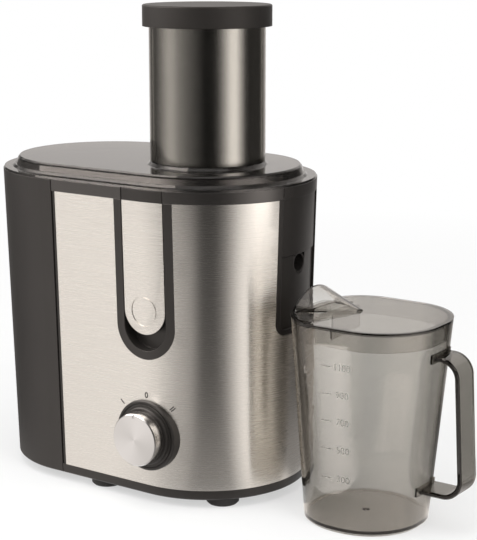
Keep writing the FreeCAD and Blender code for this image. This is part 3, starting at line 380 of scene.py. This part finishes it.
# a card glows in its own tone on any path with a reflection in it, and is clear to all others
def cardFinish(name, card):
    material, tree = newFinish(name)
    place = objectPlace(tree, (motorAxis.x, motorAxis.y, 0))
    split = Sock.make(tree, "ShaderNodeSeparateXYZ", {}, {"Vector": place}, "X")
    ahead = 0.0 - Sock(split.socket.node.outputs["Y"])
    turn = split.maths("ARCTAN2", ahead) / (2.0 * math.pi) + 0.5
    stops = [((angle + 180.0) / 360.0, (grey, grey, grey, 1)) for angle, grey in card["tones"].items()]
    tone = Sock.make(tree, "ShaderNodeValToRGB", {"stops": stops}, {"Fac": turn})
    away = (split * split + ahead * ahead) ** 0.5
    paler = Sock.make(tree, "ShaderNodeMapRange", {}, {
        "Value": away, "From Min": cardShade["paleFrom"], "From Max": cardShade["paleTo"],
        "To Min": card["lift"], "To Max": 0.0})
    mirrored = Sock.make(tree, "ShaderNodeLightPath", output="Glossy Depth")
    passed = Sock(mirrored.socket.node.outputs["Transmission Depth"]).maths("MINIMUM", 1.0)
    strength = tone.maths("MAXIMUM", paler) * (passed * card["beyond"] + 1.0)
    lit = Sock.make(tree, "ShaderNodeVectorMath", {"operation": "SCALE"},
                    {"Vector": cardShade["colour"], "Scale": strength})
    glow = Sock.make(tree, "ShaderNodeEmission", {}, {"Color": lit, "Strength": 1.0})
    clear = Sock.make(tree, "ShaderNodeBsdfTransparent")
    shown = mirrored.maths("MINIMUM", 1.0)
    showSurface(tree, Sock.make(tree, "ShaderNodeMixShader", {}, {0: shown, 1: clear, 2: glow}))
    return material


# soft boxes round the machine, by azimuth from the front, height and distance
softBoxes = {
    "leftBox": {"azimuth": -48, "height": 1.2, "distance": 1.9, "size": (1.3, 1.6), "power": 24},
    "rightBox": {"azimuth": 72, "height": 1.0, "distance": 1.7, "size": (0.8, 1.6), "power": 14},
    "topBox": {"azimuth": 10, "height": 2.2, "distance": 0.5, "size": (1.6, 1.6), "power": 20}}
aimHeight = 0.18


def aimed(setting):
    angle = math.radians(setting["azimuth"])
    place = Vector((math.sin(angle), -math.cos(angle), 0)) * setting["distance"]
    place += Vector((0, 0, setting["height"]))
    target = Vector((motorAxis.x, motorAxis.y, aimHeight))
    turn = (target - place).to_track_quat("-Z", "Y")
    return Matrix.LocRotScale(place, turn, None)


def lightStudio():
    for name, setting in softBoxes.items():
        lamp = bpy.data.lights.new(name, "AREA")
        lamp.shape = "RECTANGLE"
        lamp.size, lamp.size_y = setting["size"]
        lamp.energy = setting["power"]
        lampObject = bpy.data.objects.new(name, lamp)
        lampObject.matrix_world = aimed(setting)
        lampObject.visible_glossy = False
        bpy.context.scene.collection.objects.link(lampObject)


# a low light lying in front of the jug and for it alone, which its flat walls throw back as pale bands
jugGlow = {"place": (0.005, -0.262, 0.004), "turn": -33.0, "size": (0.16, 0.38), "power": 0.50,
           "pieces": ("jug_body", "jug_lid", "jug_handle")}


def lightJug():
    lit = bpy.data.collections.new("jugLit")
    for name in jugGlow["pieces"]:
        lit.objects.link(nodes[name])
    lamp = bpy.data.lights.new("jugGlow", "AREA")
    lamp.shape = "RECTANGLE"
    lamp.size, lamp.size_y = jugGlow["size"]
    lamp.energy = jugGlow["power"]
    lamp.use_nodes = True
    tree = lamp.node_tree
    tree.nodes.clear()
    spot = Sock.make(tree, "ShaderNodeNewGeometry", output="Parametric")
    across = Sock.make(tree, "ShaderNodeSeparateXYZ", {}, {"Vector": spot}, "X")
    soft = (across * math.pi).maths("SINE", 0.0)
    glow = Sock.make(tree, "ShaderNodeEmission", {}, {"Color": soft, "Strength": 1.0})
    showSurface(tree, glow, "ShaderNodeOutputLight")
    lampObject = bpy.data.objects.new("jugGlow", lamp)
    facing = Matrix.Rotation(math.radians(jugGlow["turn"]), 4, "Z") @ Matrix.Rotation(math.pi, 4, "X")
    lampObject.matrix_world = Matrix.Translation(jugGlow["place"]) @ facing
    lampObject.light_linking.receiver_collection = lit
    bpy.context.scene.collection.objects.link(lampObject)


# raised marks: flat letters or ticks are laid on a CAD face by casting each corner onto it, and then given
# their thickness. "capShare" is a capital's share of the letter size, and edges longer than "longEdge" are
# cut so that they follow the face
marking = {"across": Vector((1, 0, 0)), "inward": Vector((0, 1, 0)), "castFrom": -0.3, "capShare": 0.7,
           "curveSteps": 6, "joinWithin": 1e-7, "longEdge": 0.004, "longEdgeCuts": 6}


def flatLetters(name, text, height, bold=0.0):
    curve = bpy.data.curves.new(name, "FONT")
    curve.body = text
    curve.size = height / marking["capShare"]
    curve.align_x = "CENTER"
    curve.align_y = "CENTER"
    curve.resolution_u = marking["curveSteps"]
    curve.offset = bold
    letters = bpy.data.objects.new(name + "Letters", curve)
    bpy.context.scene.collection.objects.link(letters)
    flat = bpy.data.meshes.new_from_object(letters)
    bpy.data.objects.remove(letters)
    return flat


def layOn(name, flat, carrier, across, up, turn, lift, thick):
    mark = bmesh.new()
    mark.from_mesh(flat)
    bpy.data.meshes.remove(flat)
    turned = Matrix.Rotation(math.radians(turn), 3, "Z")
    bmesh.ops.rotate(mark, cent=(0, 0, 0), matrix=turned, verts=mark.verts)
    bmesh.ops.remove_doubles(mark, verts=mark.verts, dist=marking["joinWithin"])
    longEdges = [edge for edge in mark.edges if edge.calc_length() > marking["longEdge"]]
    if longEdges:
        bmesh.ops.subdivide_edges(mark, edges=longEdges, cuts=marking["longEdgeCuts"])
    centre = Vector((across, marking["castFrom"], up))
    inward = marking["inward"]
    for vert in mark.verts:
        start = centre + marking["across"] * vert.co.x + Vector((0, 0, vert.co.y))
        place = nodes[carrier].ray_cast(start, inward)[1]
        vert.co = place - inward * lift
    raised = bmesh.ops.extrude_face_region(mark, geom=mark.faces[:])
    lifted = [part for part in raised["geom"] if isinstance(part, bmesh.types.BMVert)]
    bmesh.ops.translate(mark, vec=-inward * thick, verts=lifted)
    bmesh.ops.recalc_face_normals(mark, faces=mark.faces)
    mesh = bpy.data.meshes.new(name)
    mark.to_mesh(mesh)
    mark.free()
    piece = bpy.data.objects.new(name, mesh)
    bpy.context.scene.collection.objects.link(piece)
    return piece


# the dial's printed marks, by distance from the motor axis and height
dialMarks = {
    "dialOff": {"text": "0", "across": 0.0002, "up": 0.0888, "turn": 0},
    "dialSlow": {"text": "I", "across": -0.0236, "up": 0.0796, "turn": 45},
    "dialFast": {"text": "II", "across": 0.0228, "up": 0.0806, "turn": -45}}
dialPrint = {"height": 0.0046, "lift": 0.00002, "thick": 0.00008, "bold": 0.00012}
markInk = plasticFinish("markInk", (0.035, 0.033, 0.031), (0.05, 0.047, 0.044), 0.5)


def printDial():
    for name, mark in dialMarks.items():
        flat = flatLetters(name, mark["text"], dialPrint["height"], dialPrint["bold"])
        piece = layOn(name, flat, "steel_wrap", motorAxis.x + mark["across"], mark["up"], mark["turn"],
                      dialPrint["lift"], dialPrint["thick"])
        piece.data.materials.append(markInk)
        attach(piece, "base")


# the jug's scale: frosted figures and ticks moulded on its front wall, millilitres by height
jugScale = {"figures": {"300": 0.0437, "500": 0.0666, "700": 0.0885, "900": 0.1096, "1100": 0.1307},
            "across": 0.1367, "tickAcross": 0.1226, "size": 0.0052, "tick": (0.009, 0.0007),
            "tickParts": 8, "lift": 0.00002, "thick": 0.00024}
scaleFrost = smokedFinish("scaleFrost", 0.35)


def tickMesh(name):
    tick = bmesh.new()
    bmesh.ops.create_grid(tick, x_segments=jugScale["tickParts"], y_segments=1, size=0.5)
    bmesh.ops.scale(tick, vec=(*jugScale["tick"], 1), verts=tick.verts)
    mesh = bpy.data.meshes.new(name)
    tick.to_mesh(mesh)
    tick.free()
    return mesh


def mouldScale():
    for figure, up in jugScale["figures"].items():
        number = layOn("scale" + figure, flatLetters("scale" + figure, figure, jugScale["size"]), "jug_body",
                       jugScale["across"], up, 0, jugScale["lift"], jugScale["thick"])
        line = layOn("tick" + figure, tickMesh("tickFlat" + figure), "jug_body",
                     jugScale["tickAcross"], up, 0, jugScale["lift"], jugScale["thick"])
        for piece in (number, line):
            piece.data.materials.append(scaleFrost)
            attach(piece, "jug")


printDial()
print("dial printed")
mouldScale()
print("jug scale moulded")

layFloor()
standCards()
lightWorld()
lightStudio()
lightJug()
print("studio set")


# the photograph's camera, aimed from the motor axis
photoCamera = {"azimuth": 34.7507, "pitch": 12.2729, "distance": 1.224549, "right": 0.029754,
               "height": 0.177514, "lens": 102.159, "sensor": 36.0}


def setCamera():
    azimuth = math.radians(photoCamera["azimuth"])
    pitch = math.radians(photoCamera["pitch"])
    level = math.cos(pitch)
    back = Vector((math.sin(azimuth) * level, -math.cos(azimuth) * level, math.sin(pitch)))
    right = Vector((math.cos(azimuth), math.sin(azimuth), 0))
    up = back.cross(right)
    target = Vector((motorAxis.x + photoCamera["right"], motorAxis.y, photoCamera["height"]))
    camera = bpy.data.cameras.new("photoCamera")
    camera.lens = photoCamera["lens"]
    camera.sensor_width = photoCamera["sensor"]
    cameraObject = bpy.data.objects.new("photoCamera", camera)
    turn = Matrix((right, up, back)).transposed()
    cameraObject.matrix_world = Matrix.LocRotScale(target + back * photoCamera["distance"], turn, None)
    bpy.context.scene.collection.objects.link(cameraObject)
    bpy.context.scene.camera = cameraObject


setCamera()
bpy.context.scene.view_settings.view_transform = "Standard"
